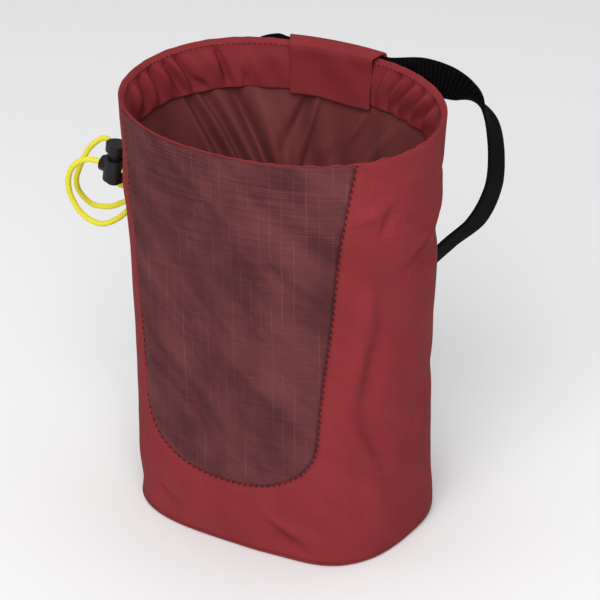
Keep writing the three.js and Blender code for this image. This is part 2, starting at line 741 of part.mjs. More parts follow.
// Rod along an axis of the cord lock's own frame, between two places on that axis.
function lockRod(axis, from, to, radius, sides = ROUND_SIDES) {
  const start = new THREE.Vector3().setComponent(axis, from);
  const end = new THREE.Vector3().setComponent(axis, to);
  return rodBetween(start, end, radius, sides);
}

// The button slides in the barrel, and its slot is as much longer than the cord as its stroke.
function buildLock() {
  const lock = new THREE.Group();
  lock.position.set(LOCK_PLACE.x, LOCK_PLACE.y, LOCK_PLACE.z);
  lock.rotation.y = radians(LOCK_LEAN);
  group.add(lock);

  const holeRadius = CORD_DIAMETER / 2 + CORD_GAP;
  const barrel = lockRod(2, -BARREL_BELOW, BARREL_ABOVE, BARREL_RADIUS, 28);
  const ear = lockRod(0, -EAR_REACH, 0, EAR_RADIUS);
  const foot = lockRod(2, -FOOT_DROP, 0, FOOT_RADIUS);
  const boreFloor = holeRadius + BUTTON_STROKE + GAP;
  const bore = lockRod(2, -boreFloor, BARREL_ABOVE * 2, PLUNGER_RADIUS + BORE_CLEARANCE, 24);
  const cordHole = lockRod(0, -EAR_REACH * 2, EAR_REACH * 2, holeRadius);
  addMesh("cord_lock_body", "plastic", cut(join(barrel, ear, foot), bore, cordHole), lock);

  const capFoot = BARREL_ABOVE + BUTTON_STROKE + GAP;
  const plungerFoot = boreFloor - BUTTON_STROKE - GAP;
  const plunger = lockRod(2, -plungerFoot, capFoot + CAP_THICKNESS / 2, PLUNGER_RADIUS, 24);
  const cap = lockRod(2, capFoot, capFoot + CAP_THICKNESS, CAP_RADIUS, 28);
  const slotLow = lockRod(0, -EAR_REACH, EAR_REACH, holeRadius);
  const slotHigh = slotLow.clone().translate(0, 0, BUTTON_STROKE);
  const slotMiddle = new THREE.BoxGeometry(EAR_REACH * 2, holeRadius * 2, BUTTON_STROKE);
  slotMiddle.translate(0, 0, BUTTON_STROKE / 2);
  const button = cut(join(plunger, cap), slotLow, slotMiddle, slotHigh);
  addMesh("cord_lock_button", "plastic", button, lock);
}

function buildCord() {
  const ends = EYELETS.map(eyeletAxis);
  const past = (point, direction, reach) => point.clone().addScaledVector(direction, reach);
  const seat = ends.map(({ inside, direction }) => past(inside, direction, GAP));
  const lead = ends.map(({ outside, direction }) => past(outside, direction, CORD_LEAD));
  const route = CORD_ROUTE.map(({ x, y, z }) => new THREE.Vector3(x, y, z));
  const points = [seat[0], lead[0], ...route, lead[1], seat[1]];
  const curve = new THREE.CatmullRomCurve3(points, false, "centripetal");
  const section = new THREE.Shape();
  for (let side = 0; side < CORD_SIDES; side += 1) {
    const angle = (side / CORD_SIDES) * 2 * Math.PI;
    const x = (Math.cos(angle) * CORD_DIAMETER) / 2;
    const y = (Math.sin(angle) * CORD_DIAMETER) / 2;
    if (side === 0) section.moveTo(x, y);
    else section.lineTo(x, y);
  }
  section.closePath();
  const extrusion = { steps: Math.round(curve.getLength() / CORD_STEP), extrudePath: curve };
  addMesh("drawcord", "cord", new THREE.ExtrudeGeometry(section, extrusion));
}

buildShell();
buildPanel();
buildBase();
buildCollar();
buildLining();
buildTunnel();
buildBelt();
buildBuckle();
buildLock();
buildCord();

export default group;
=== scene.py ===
"""Looks of the climbing chalk bag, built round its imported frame.

Shapes are worked out in millimetres, in the row frame, and scaled to metres when a mesh is made.
Angles round the bag start at the middle of the front (-Y) and grow towards +X.
"""

import math

import bpy
import numpy as np
from mathutils import Matrix, Vector


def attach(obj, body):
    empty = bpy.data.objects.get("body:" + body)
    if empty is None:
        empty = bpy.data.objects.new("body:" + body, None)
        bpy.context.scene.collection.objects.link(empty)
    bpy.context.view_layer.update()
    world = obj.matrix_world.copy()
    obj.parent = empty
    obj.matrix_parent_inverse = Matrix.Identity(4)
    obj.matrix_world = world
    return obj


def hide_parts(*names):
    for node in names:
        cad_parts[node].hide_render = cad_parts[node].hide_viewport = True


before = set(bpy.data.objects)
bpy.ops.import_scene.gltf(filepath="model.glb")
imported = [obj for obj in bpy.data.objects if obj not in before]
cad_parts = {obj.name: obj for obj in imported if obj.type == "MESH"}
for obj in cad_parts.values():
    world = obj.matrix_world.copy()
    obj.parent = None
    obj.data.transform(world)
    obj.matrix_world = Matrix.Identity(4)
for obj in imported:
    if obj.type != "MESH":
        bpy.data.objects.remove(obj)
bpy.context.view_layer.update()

MM = 0.001
BODY = "bag"

# Camera: the photograph's view, fitted to the rim, the base and the seams
CAMERA_AZIMUTH = 30.7
CAMERA_ELEVATION = 26.95
CAMERA_DISTANCE = 0.929
CAMERA_TARGET = (0.0, -0.0018, 0.08675)
CAMERA_LENS = 143.38
CAMERA_SHIFT = (0.0293, 0.0095)

# Bag, as in the frame
RIM_WIDTH, RIM_DEPTH = 130.0, 90.8
BASE_WIDTH, BASE_DEPTH = 114.8, 85.0
HEIGHT, RIM_RISE, RIM_SHIFT = 173.7, 10.4, -3.4
EDGE_RADIUS, DENT_DEPTH = 3.0, 3.0
SHELL_CLOTH, BASE_CLOTH, LINING_CLOTH = 1.2, 1.5, 1.0
COLLAR_CLOTH, TUNNEL_CLOTH, GAP = 1.2, 1.2, 0.3
PANEL_FOOT, PANEL_CORNER, PANEL_CORNER_POWER, PANEL_MIDDLE = 29.5, 26.0, 2.4, -2.0
COLLAR_DEPTH, COLLAR_LIP = 18.2, 1.8
LINING_TOP, LINING_FLOOR, FOLD_DEPTH = 11.0, 3.4, 7.0
FOLD_START, FOLD_END = 0.2, 0.125
BELT_WIDTH, BELT_THICKNESS, BELT_RISE = 15.0, 1.4, 1.5
LOOP_REACH, LOOP_DROP, LOOP_BEHIND = 65.0, 160.0, 10.0
TUNNEL_WIDTH, TUNNEL_HEM, TUNNEL_HEM_OUTSIDE = 41.0, 19.6, 22.0
CORD_DIAMETER, CORD_LEAD = 2.3, 1.6

# Height share, growth of width and depth from base to rim, and squareness of the plan
SECTIONS = [
    (0.0, 0.0, 0.0, 3.05),
    (0.2, 0.09, 0.0, 2.75),
    (0.42, 0.19, 0.18, 2.55),
    (0.64, 0.42, 0.46, 2.4),
    (0.84, 0.74, 0.78, 2.22),
    (1.0, 1.0, 1.0, 2.13),
]

# Dents: angle, height share, spread in degrees, spread in height share, share of DENT_DEPTH
DENTS = [
    (108, 0.72, 26, 0.035, 0.42),
    (110, 0.875, 18, 0.014, 0.25),
    (100, 0.38, 24, 0.03, 0.25),
    (30, 0.06, 10, 0.05, 0.5),
    (100, 0.03, 20, 0.06, -0.5),
    (48, 0.02, 13, 0.06, -0.45),
    (-62, 0.04, 16, 0.05, 0.4),
    (74, 0.3, 14, 0.2, 0.3),
    (60, 0.62, 10, 0.16, -0.25),
    (-20, 0.66, 14, 0.1, 0.3),
    (22, 0.42, 12, 0.12, 0.28),
    (-62, 0.8, 12, 0.05, -0.3),
    (182, 0.5, 34, 0.16, 0.5),
    (140, 0.25, 16, 0.12, 0.35),
    (-140, 0.35, 18, 0.14, 0.35),
]

# Front panel's edges: height share, degrees left, degrees right
PANEL_EDGES = [
    (0.0, -45, 41),
    (0.4, -50, 46.2),
    (0.6, -52.8, 50),
    (0.8, -55.5, 53.3),
    (1.0, -61, 58.7),
]

# Creases of the outer cloth: from angle and height to angle and height, width and how far the
# cloth stands out along it, all in degrees and millimetres
CREASES = [
    (55, 146.0, 71, 152.0, 2.6, 0.75),
    (68, 140.0, 72, 151.0, 2.2, -0.8),
    (56, 134.0, 64, 119.0, 3.4, 0.5),
    (64, 118.0, 62, 100.0, 3.6, 0.7),
    (62, 100.0, 55, 65.0, 4.2, 0.9),
    (69, 104.0, 63, 66.0, 4.0, -0.7),
    (55, 64.0, 66, 40.0, 3.6, 0.8),
    (62, 66.0, 73, 42.0, 3.2, -0.6),
    (66, 40.0, 72, 10.0, 4.4, 0.7),
    (82, 128.0, 104, 143.0, 2.6, 0.55),
    (78, 122.0, 100, 134.0, 2.4, -0.5),
    (92, 112.0, 104, 122.0, 2.4, 0.4),
    (86, 40.0, 96, 64.0, 4.0, -0.5),
    (24, 140.0, 42, 118.0, 2.4, 0.45),
    (18, 136.0, 38, 112.0, 2.2, -0.45),
    (12, 130.0, 32, 106.0, 2.4, 0.4),
    (-34, 132.0, -24, 118.0, 3.0, 0.6),
    (-40, 128.0, -30, 112.0, 3.0, -0.5),
    (-46, 84.0, -36, 62.0, 3.4, 0.5),
    (-20, 70.0, -14, 44.0, 3.6, -0.45),
    (4, 96.0, 14, 70.0, 3.4, 0.35),
    (26, 12.0, 40, 3.0, 3.2, -1.1),
    (22, 18.0, 44, 10.0, 3.0, 0.7),
    (-44, 14.0, -30, 6.0, 3.4, -0.7),
    (-120, 120.0, -100, 96.0, 4.0, 0.6),
    (-150, 90.0, -126, 60.0, 4.4, -0.6),
    (150, 110.0, 172, 84.0, 4.4, 0.6),
    (130, 70.0, 152, 40.0, 4.4, -0.6),
]

# The collar's clearest gathers, in the same columns, standing in towards the middle of the bag
GATHER_LINES = [
    (-82, 172.0, -84, 158.0, 1.8, 1.3),
    (-88, 173.0, -90, 158.0, 1.4, -1.2),
    (-91, 173.0, -94, 158.0, 1.5, 1.3),
    (-94, 174.0, -98, 159.0, 1.2, -1.5),
    (-97, 173.0, -103, 159.0, 1.5, 1.5),
    (-101, 173.0, -108, 159.0, 1.2, -1.6),
    (-104, 173.0, -111, 159.0, 1.4, 1.5),
    (-106, 174.0, -113, 160.0, 1.1, -1.5),
    (-111, 173.0, -118, 159.0, 2.0, 1.2),
    (-113, 164.0, -117, 159.0, 1.2, -1.3),
    (-122, 175.0, -127, 160.0, 1.3, -1.7),
    (-118, 174.0, -123, 162.0, 2.6, 1.1),
    (-133, 166.0, -134, 159.0, 1.4, -0.8),
    (108, 174.0, 114, 160.0, 1.6, -1.3),
    (112, 174.0, 119, 161.0, 1.6, 1.3),
    (116, 176.0, 125, 163.0, 1.3, -1.6),
    (121, 175.0, 129, 163.0, 1.6, 1.5),
    (126, 175.0, 133, 162.0, 1.3, -1.6),
    (130, 175.0, 137, 163.0, 1.6, 1.5),
    (133, 176.0, 141, 163.0, 1.2, -1.6),
    (138, 176.0, 145, 163.0, 1.6, 1.5),
    (142, 177.0, 148, 162.0, 1.2, -1.5),
    (148, 176.0, 153, 163.0, 1.8, 1.2),
]

# Sharp folds of the lining, in the same columns
LINING_LINES = [
    (-107, 158.0, -130, 92.0, 1.8, 1.3),
    (-110, 157.0, -136, 95.0, 2.6, -2.4),
    (-112.5, 158.0, -141, 95.0, 1.8, 1.9),
    (-115, 158.0, -144, 95.0, 2.2, -1.8),
    (-119.5, 158.0, -148, 95.0, 3.4, 1.9),
    (-127, 157.0, -153, 98.0, 2.8, -3.2),
    (-136, 156.0, -160, 100.0, 4.6, 1.5),
    (-166, 158.0, -151, 132.0, 2.8, -1.5),
    (-171, 157.0, -158, 128.0, 2.6, 1.2),
    (-174, 156.0, -150, 98.0, 0.9, -0.7),
    (160, 152.0, 182, 130.0, 2.8, 1.6),
    (166, 147.0, 187, 126.0, 2.8, -1.3),
    (142, 151.0, 166, 126.0, 3.6, 1.3),
    (150, 146.0, 172, 122.0, 3.2, -1.1),
    (129, 160.0, 129, 110.0, 0.9, -0.5),
    (112, 152.0, 128, 120.0, 4.0, 1.0),
    (-90, 150.0, -104, 110.0, 5.0, 0.9),
]

# Strength of the collar's gathers round the rim: angle, strength
GATHERS = [
    (-180, 0.12),
    (-160, 0.14),
    (-142, 0.3),
    (-132, 0.85),
    (-90, 1.0),
    (-55, 0.45),
    (0, 0.3),
    (60, 0.5),
    (95, 0.9),
    (138, 1.0),
    (150, 0.2),
    (180, 0.12),
]

# Long folds of the lining, as in the frame: degrees at top and foot, degrees wide, share deep
FOLDS = [
    (-136, -170, 8, 0.85),
    (-150, -190, 6, 0.6),
    (-118, -150, 9, 0.7),
    (-168, -214, 7, 0.45),
    (172, 140, 8, 0.3),
    (150, 118, 6, 0.4),
    (128, 104, 8, 0.55),
    (96, 70, 9, 0.5),
    (30, 48, 12, 0.4),
    (-30, -10, 12, 0.4),
    (-82, -66, 10, 0.5),
]

# The belt outside its tunnel: shares of reach, drop and behind, and the webbing's turn
BELT_ROUTE = [
    (0.54, 0.03, 0.1, -2),
    (0.69, 0.036, 0.2, -8),
    (0.805, 0.056, 0.4, -28),
    (0.885, 0.094, 0.7, -52),
    (0.945, 0.142, 0.85, -64),
    (0.98, 0.215, 0.82, -66),
    (0.97, 0.295, 0.78, -62),
    (0.875, 0.39, 0.76, -58),
    (0.67, 0.485, 0.8, -64),
    (0.47, 0.6, 0.8, -78),
    (0.38, 0.73, 0.8, -88),
    (0.28, 0.88, 0.8, -90),
    (0.06, 0.985, 0.8, -90),
    (-0.24, 0.98, 0.8, -90),
    (-0.48, 0.89, 0.8, -90),
    (-0.62, 0.75, 0.8, -90),
    (-0.67, 0.62, 0.8, -90),
    (-0.68, 0.5, 0.8, -90),
    (-0.68, 0.4, 0.8, -90),
    (-0.68, 0.3, 0.8, -90),
    (-0.68, 0.2, 0.8, -88),
    (-0.65, 0.12, 0.7, -74),
    (-0.56, 0.064, 0.4, -38),
    (-0.43, 0.044, 0.1, -8),
]

# Where the drawcord leaves the wall: degrees, and millimetres below the rim
EYELETS = [(-87, 23.5), (-97, 26.0)]
CORD_ROUTE = [
    (-68.0, -6.8, 149.0),
    (-69.1, -6.4, 146.4),
    (-68.2, -6.1, 142.6),
    (-66.4, -5.8, 137.0),
    (-66.3, -5.8, 132.2),
    (-68.4, -5.8, 129.8),
    (-71.4, -5.8, 130.0),
    (-74.4, -5.8, 130.4),
    (-80.4, -5.8, 131.2),
    (-86.9, -6.8, 131.3),
    (-93.3, -7.4, 127.2),
    (-96.3, -7.0, 120.1),
    (-95.7, -6.0, 112.4),
    (-91.1, -4.8, 105.3),
    (-84.1, -2.8, 102.3),
    (-77.9, 0.7, 104.9),
    (-75.0, 4.8, 108.6),
    (-76.8, 9.4, 109.4),
    (-81.6, 11.4, 107.2),
    (-89.7, 11.8, 102.9),
    (-97.0, 10.0, 102.9),
    (-100.3, 6.4, 108.6),
    (-99.8, 3.2, 115.4),
    (-95.0, 1.0, 125.6),
    (-90.1, 1.2, 133.6),
    (-84.8, 2.6, 137.4),
    (-80.8, 3.4, 135.2),
    (-80.0, 4.0, 130.2),
    (-81.6, 4.2, 124.6),
    (-81.8, 4.2, 120.4),
    (-78.6, 4.2, 117.8),
    (-75.0, 4.2, 120.4),
    (-72.2, 4.2, 125.8),
    (-69.2, 4.3, 132.2),
    (-66.9, 4.4, 138.6),
    (-66.4, 4.6, 143.6),
]


# Shape of the bag


def read_table(rows, at, column):
    """Smooth value between the rows of a table, by Hermite curves with flat ends."""
    data = np.array(rows, float)
    keys, values, last = data[:, 0], data[:, column], len(rows) - 1
    place = np.clip(np.asarray(at, float), keys[0], keys[-1])
    i = np.clip(np.searchsorted(keys, place, side="left") - 1, 0, last - 1)
    low, high = np.maximum(i - 1, 0), np.minimum(i + 2, last)
    step = keys[i + 1] - keys[i]
    t = (place - keys[i]) / step
    before = (values[i + 1] - values[low]) / (keys[i + 1] - keys[low]) * step
    after = (values[high] - values[i]) / (keys[high] - keys[i]) * step
    t2, t3 = t * t, t * t * t
    return (
        (2 * t3 - 3 * t2 + 1) * values[i]
        + (t3 - 2 * t2 + t) * before
        + (3 * t2 - 2 * t3) * values[i + 1]
        + (t3 - t2) * after
    )


def turn_between(start, end):
    return (end - start + 180.0) % 360.0 - 180.0


def bump(distance, spread):
    return np.exp(-((distance / spread) ** 2))


def dent_depth(angle, height):
    degrees = np.degrees(angle)
    depth = np.zeros(np.broadcast(angle, height).shape)
    for centre, share, around, along, deep in DENTS:
        nearness = bump(turn_between(centre, degrees), around) * bump(height - share, along)
        depth += deep * DENT_DEPTH * nearness
    return depth


def plan_point(angle, height, inset):
    width = BASE_WIDTH + (RIM_WIDTH - BASE_WIDTH) * read_table(SECTIONS, height, 1)
    depth = BASE_DEPTH + (RIM_DEPTH - BASE_DEPTH) * read_table(SECTIONS, height, 2)
    power = read_table(SECTIONS, height, 3)
    inward = inset + dent_depth(angle, height)
    across = (np.abs(np.sin(angle)) / (width / 2 - inward)) ** power
    along = (np.abs(np.cos(angle)) / (depth / 2 - inward)) ** power
    reach = (across + along) ** (-1 / power)
    return reach * np.sin(angle), RIM_SHIFT * height - reach * np.cos(angle)


def rim_height(y):
    return HEIGHT + RIM_RISE * y / RIM_DEPTH


def edge_curl(z):
    rest = np.clip(EDGE_RADIUS - z, 0, EDGE_RADIUS)
    return EDGE_RADIUS - np.sqrt(EDGE_RADIUS**2 - rest**2)


def wall_point(angle, height, inset):
    angle, height, inset = np.broadcast_arrays(*np.atleast_1d(angle, height, inset))
    z = height * rim_height(plan_point(angle, height, 0.0)[1])
    x, y = plan_point(angle, height, inset + edge_curl(z))
    return np.stack([x, y, z], -1)


def below_rim(angle, drop):
    return 1 - drop / rim_height(plan_point(angle, 1.0, 0.0)[1])


def rim_point(angle, drop, inset):
    """Point so far below the rim, or above it where the drop is negative."""
    angle, drop, inset = np.broadcast_arrays(*np.atleast_1d(angle, drop, inset))
    height = below_rim(angle, drop)
    point = wall_point(angle, np.minimum(height, 1.0), inset)
    point[..., 2] += np.where(height > 1, -drop, 0.0)
    return point


def panel_edges(height):
    foot = PANEL_FOOT / HEIGHT
    climb = np.clip((height - foot) * HEIGHT / PANEL_CORNER, 0, 1)
    fullness = (1 - (1 - climb) ** PANEL_CORNER_POWER) ** (1 / PANEL_CORNER_POWER)
    edges = [read_table(PANEL_EDGES, height, column) for column in (1, 2)]
    return [np.radians(PANEL_MIDDLE + (edge - PANEL_MIDDLE) * fullness) for edge in edges]


def ripple(angle, z, count, around, along, seed):
    """Smooth unevenness between -1 and 1 that closes round the bag."""
    random = np.random.RandomState(seed)
    total = np.zeros(np.broadcast(angle, z).shape)
    for _ in range(count):
        k = random.randint(around[0], around[1] + 1) * random.choice([-1, 1])
        pitch = random.uniform(*along)
        total += np.cos(k * angle + 2 * math.pi * z / pitch + random.uniform(0, 6.28))
    return total / math.sqrt(count) / 1.4


MEAN_RADIUS = 54.0
CREASE_STRENGTH = 2.6


def crease_depth(angle, z):
    """How far the outer cloth stands out, in millimetres: creases and slight unevenness."""
    out = 0.16 * ripple(angle, z, 10, (3, 12), (30, 90), 3)
    out += 0.07 * ripple(angle, z, 14, (14, 40), (12, 40), 5)
    return out + CREASE_STRENGTH * line_relief(CREASES, angle, z)


def line_relief(lines, angle, z):
    """Sum of soft ridges and furrows, each along its own line."""
    degrees = np.degrees(angle)
    out = np.zeros(np.broadcast(angle, z).shape)
    for a0, z0, a1, z1, wide, high in lines:
        scale = math.radians(1) * MEAN_RADIUS
        along = np.array([(a1 - a0) * scale, z1 - z0])
        length = np.linalg.norm(along)
        along /= length
        du = turn_between(a0, degrees) * scale
        dv = z - z0
        run = du * along[0] + dv * along[1]
        side = du * along[1] - dv * along[0]
        bend = 0.12 * wide * np.sin(run / length * 4.0)
        taper = np.clip(run / length, 0, 1)
        reach = np.where(run < 0, run, np.where(run > length, run - length, 0.0))
        shape = np.sin(np.pi * np.clip(taper * 0.8 + 0.1, 0, 1))
        shape *= bump(reach, wide)
        out += high * bump(side - bend, wide * (0.7 + 0.5 * taper)) * shape
    return out


def cloth_across(angle):
    """Millimetres round the bag at an angle, for the weave."""
    return angle * MEAN_RADIUS


def distance_to(points, line):
    """Distance of each point to the nearest place on a polyline."""
    flat = points.reshape(-1, 3)
    best = np.full(len(flat), 1e9)
    for start in range(0, len(flat), 8000):
        block = flat[start : start + 8000]
        near = ((block[:, None, :] - line[None, :, :]) ** 2).sum(-1)
        best[start : start + 8000] = np.sqrt(near.min(1))
    return best.reshape(points.shape[:-1])


def seam_line():
    """The front panel's seam: down its right edge, round the foot and up its left edge."""
    foot, corner = PANEL_FOOT / HEIGHT, PANEL_CORNER / HEIGHT
    round_rows = foot + corner * np.linspace(0, 1, 160) ** 2.4
    heights = np.concatenate([round_rows, np.linspace(foot + corner, 1, 260)[1:]])
    left, right = panel_edges(heights)
    return np.concatenate(
        [
            wall_point(right, heights, 0.0)[::-1],
            wall_point(left, heights, 0.0)[1:],
        ]
    )


SEAM = seam_line()


# Making meshes


def grid_mesh(name, points, cloth, material, wrap=False, flip=False, thickness=0.0):
    """A sheet of cloth from rows and columns of points. Cloth holds millimetres on the weave."""
    rows, columns = points.shape[:2]
    across = columns if wrap else columns - 1
    i, j = np.meshgrid(np.arange(rows - 1), np.arange(across), indexing="ij")
    beside = (j + 1) % columns
    corners = [
        (i * columns + j, cloth[i, j]),
        (i * columns + beside, cloth[i, j + 1]),
        ((i + 1) * columns + beside, cloth[i + 1, j + 1]),
        ((i + 1) * columns + j, cloth[i + 1, j]),
    ]
    if flip:
        corners = corners[::-1]
    faces = np.stack([c[0] for c in corners], -1).reshape(-1, 4)
    weave = np.stack([c[1] for c in corners], -2).reshape(-1, 2)
    mesh = bpy.data.meshes.new(name)
    mesh.from_pydata((points.reshape(-1, 3) * MM).tolist(), [], faces.tolist())
    store_weave(mesh, weave)
    return finish_piece(name, mesh, material, thickness)


def store_weave(mesh, weave):
    data = np.zeros((len(weave), 3), np.float32)
    data[:, :2] = weave
    attribute = mesh.attributes.new("weave", "FLOAT_VECTOR", "CORNER")
    attribute.data.foreach_set("vector", data.ravel())


def finish_piece(name, mesh, material, thickness=0.0):
    mesh.polygons.foreach_set("use_smooth", np.ones(len(mesh.polygons), bool))
    mesh.update()
    mesh.validate()
    piece = bpy.data.objects.new(name, mesh)
    bpy.context.scene.collection.objects.link(piece)
    mesh.materials.append(material)
    if thickness:
        solid = piece.modifiers.new("cloth", "SOLIDIFY")
        solid.thickness = thickness * MM
        solid.offset = -1
    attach(piece, BODY)
    return piece


def tube_mesh(name, path, radius, sides, material, swell=None):
    """A round tube along a path. Swell scales the radius at each ring and side."""
    tangents = np.gradient(path, axis=0)
    tangents /= np.linalg.norm(tangents, axis=1)[:, None]
    normal = np.cross(tangents[0], [0.3, 0.8, 0.52])
    normal /= np.linalg.norm(normal)
    normals = []
    for tangent in tangents:
        normal = normal - tangent * normal.dot(tangent)
        normal /= np.linalg.norm(normal)
        normals.append(normal)
    normals = np.array(normals)
    sideways = np.cross(tangents, normals)
    turn = np.linspace(0, 2 * math.pi, sides, endpoint=False)
    run = np.concatenate([[0], np.cumsum(np.linalg.norm(np.diff(path, axis=0), axis=1))])
    scale = np.ones((len(path), sides)) if swell is None else swell(run[:, None], turn[None, :])
    ring = normals[:, None] * np.cos(turn)[None, :, None]
    ring = ring + sideways[:, None] * np.sin(turn)[None, :, None]
    points = path[:, None, :] + ring * (radius * scale)[..., None]
    around = np.linspace(0, 2 * math.pi * radius, sides + 1)
    cloth = np.stack(np.broadcast_arrays(around[None, :], run[:, None]), -1)
    return grid_mesh(name, points, cloth, material, wrap=True)


def catmull(points, samples, closed=False):
    """Centripetal Catmull-Rom curve through points, with so many samples in each span."""
    p = np.array(points, float)
    if closed:
        p = np.concatenate([p[-1:], p, p[:2]])
    else:
        p = np.concatenate([2 * p[:1] - p[1:2], p, 2 * p[-1:] - p[-2:-1]])
    out = []
    for a, b, c, d in zip(p[:-3], p[1:-2], p[2:-1], p[3:]):
        ta = 0.0
        tb = ta + max(np.linalg.norm(b - a), 1e-6) ** 0.5
        tc = tb + max(np.linalg.norm(c - b), 1e-6) ** 0.5
        td = tc + max(np.linalg.norm(d - c), 1e-6) ** 0.5
        t = np.linspace(tb, tc, samples, endpoint=False)[:, None]
        ab = (tb - t) / (tb - ta) * a + (t - ta) / (tb - ta) * b
        bc = (tc - t) / (tc - tb) * b + (t - tb) / (tc - tb) * c
        cd = (td - t) / (td - tc) * c + (t - tc) / (td - tc) * d
        abc = (tc - t) / (tc - ta) * ab + (t - ta) / (tc - ta) * bc
        bcd = (td - t) / (td - tb) * bc + (t - tb) / (td - tb) * cd
        out.append((tc - t) / (tc - tb) * abc + (t - tb) / (tc - tb) * bcd)
    curve = np.concatenate(out)
    return curve if closed else np.concatenate([curve, p[-2:-1]])


def even_steps(path, step):
    """The same path with points at even steps."""
    gaps = np.linalg.norm(np.diff(path, axis=0), axis=1)
    run = np.concatenate([[0], np.cumsum(gaps)])
    count = max(int(round(run[-1] / step)), 2)
    at = np.linspace(0, run[-1], count + 1)
    return np.stack([np.interp(at, run, path[:, axis]) for axis in range(3)], -1)


# Materials


class Shader:
    """A material whose nodes are written as expressions."""

    def __init__(self, name, roughness, specular=0.4, sheen=0.0, sheen_roughness=0.4):
        self.material = bpy.data.materials.new(name)
        self.material.use_nodes = True
        self.tree = self.material.node_tree
        self.surface = self.tree.nodes["Principled BSDF"]
        self.surface.inputs["Roughness"].default_value = roughness
        self.surface.inputs["Specular IOR Level"].default_value = specular
        self.surface.inputs["Sheen Weight"].default_value = sheen
        self.surface.inputs["Sheen Roughness"].default_value = sheen_roughness

    def put(self, socket, value):
        if isinstance(value, bpy.types.NodeSocket):
            self.tree.links.new(value, socket)
        else:
            socket.default_value = value

    def math(self, operation, *values):
        node = self.tree.nodes.new("ShaderNodeMath")
        node.operation = operation
        for socket, value in zip(node.inputs, values):
            self.put(socket, value)
        return node.outputs[0]

    def add(self, *values):
        total = values[0]
        for value in values[1:]:
            total = self.math("ADD", total, value)
        return total

    def times(self, *values):
        total = values[0]
        for value in values[1:]:
            total = self.math("MULTIPLY", total, value)
        return total

    def wave(self, value, pitch):
        """Sine of a length, from -1 to 1, with that pitch."""
        return self.math("SINE", self.times(value, 2 * math.pi / pitch))

    def ramp(self, value, low, high, start=0.0, end=1.0):
        node = self.tree.nodes.new("ShaderNodeMapRange")
        node.interpolation_type = "SMOOTHSTEP"
        for key, given in zip((0, 1, 2, 3, 4), (value, low, high, start, end)):
            self.put(node.inputs[key], given)
        return node.outputs[0]

    def weave(self):
        node = self.tree.nodes.new("ShaderNodeAttribute")
        node.attribute_name = "weave"
        parts = self.tree.nodes.new("ShaderNodeSeparateXYZ")
        self.tree.links.new(node.outputs["Vector"], parts.inputs[0])
        return parts.outputs[0], parts.outputs[1]

    def join(self, x, y, z=0.0):
        node = self.tree.nodes.new("ShaderNodeCombineXYZ")
        for socket, value in zip(node.inputs, (x, y, z)):
            self.put(socket, value)
        return node.outputs[0]

    def place(self):
        node = self.tree.nodes.new("ShaderNodeTexCoord")
        return node.outputs["Object"]

    def noise(self, vector, scale, detail=2.0, roughness=0.5):
        node = self.tree.nodes.new("ShaderNodeTexNoise")
        self.tree.links.new(vector, node.inputs["Vector"])
        node.inputs["Scale"].default_value = scale
        node.inputs["Detail"].default_value = detail
        node.inputs["Roughness"].default_value = roughness
        return self.math("MULTIPLY", self.math("SUBTRACT", node.outputs[0], 0.5), 2.0)

    def mix(self, factor, first, second):
        node = self.tree.nodes.new("ShaderNodeMix")
        node.data_type = "RGBA"
        node.clamp_factor = True
        self.put(node.inputs[0], factor)
        self.put(node.inputs[6], first)
        self.put(node.inputs[7], second)
        return node.outputs[2]

    def colour(self, value):
        self.put(self.surface.inputs["Base Color"], value)

    def relief(self, height):
        """Bump from a height in millimetres."""
        node = self.tree.nodes.new("ShaderNodeBump")
        node.inputs["Distance"].default_value = MM
        self.put(node.inputs["Height"], height)
        self.tree.links.new(node.outputs[0], self.surface.inputs["Normal"])


def linear(red, green, blue):
    """Linear colour of a picture's 0 to 255 values."""

    def one(value):
        value /= 255
        return value / 12.92 if value <= 0.04045 else ((value + 0.055) / 1.055) ** 2.4

    return (one(red), one(green), one(blue), 1.0)


def ripstop(name, dark, light, line, thread, rib_gap, rib_light, slub, mottle_and_undulation_shade, roughness):
    """Woven nylon: fine threads, a stronger dotted thread at even gaps, uneven picks, random
    mottling, and painted shade of soft diagonal undulations, with one strength for the last two.
    """
    s = Shader(name, roughness, specular=0.12)
    u, v = s.weave()
    sway = s.times(s.noise(s.join(s.times(u, 0.02), s.times(v, 0.02)), 1.0), 1.2)
    across = s.add(u, sway)
    checks = s.times(s.wave(across, thread), s.wave(v, thread))
    from_rib = s.math("PINGPONG", s.add(across, 500.0), rib_gap / 2)
    rib = s.ramp(from_rib, 0.08, 0.3, 1.0, 0.0)
    worn = s.noise(s.join(s.times(u, 0.2), s.times(v, 0.04)), 1.0, 2.0)
    dots = s.times(s.ramp(s.wave(v, 1.1), -0.2, 0.7), s.ramp(worn, -0.3, 0.35))
    picks = s.noise(s.join(s.times(u, 0.02), s.times(v, 1.3)), 1.0, 3.0, 0.65)
    near_top = s.ramp(v, 110.0, 165.0, 0.6, 1.3)
    patches = s.noise(s.join(s.times(u, 0.05), s.times(v, 0.03)), 1.0, 2.0)
    # Painted shade: slanted noise in the tone that stands in for the light and shade of the
    # cloth's soft diagonal undulations, at 0.9 of the mottling's strength
    painted_undulation_shade = s.noise(s.join(s.add(s.times(u, 0.07), s.times(v, 0.09)), s.times(v, 0.02)), 1.0, 2.0)
    tone = s.add(
        0.5,
        s.times(checks, 0.3),
        s.times(picks, near_top, slub),
        s.times(patches, mottle_and_undulation_shade),
        s.times(painted_undulation_shade, mottle_and_undulation_shade * 0.9),
    )
    colour = s.mix(tone, dark, light)
    strength = s.times(rib, dots, rib_light, s.ramp(patches, -0.5, 0.5, 0.15, 1.0))
    s.colour(s.mix(strength, colour, line))
    crinkle = s.noise(s.place(), 70.0, 3.0, 0.55)
    s.relief(
        s.add(
            s.times(checks, 0.02),
            s.times(rib, 0.03),
            s.times(picks, 0.02),
            s.times(crinkle, 0.2),
        )
    )
    return s.material


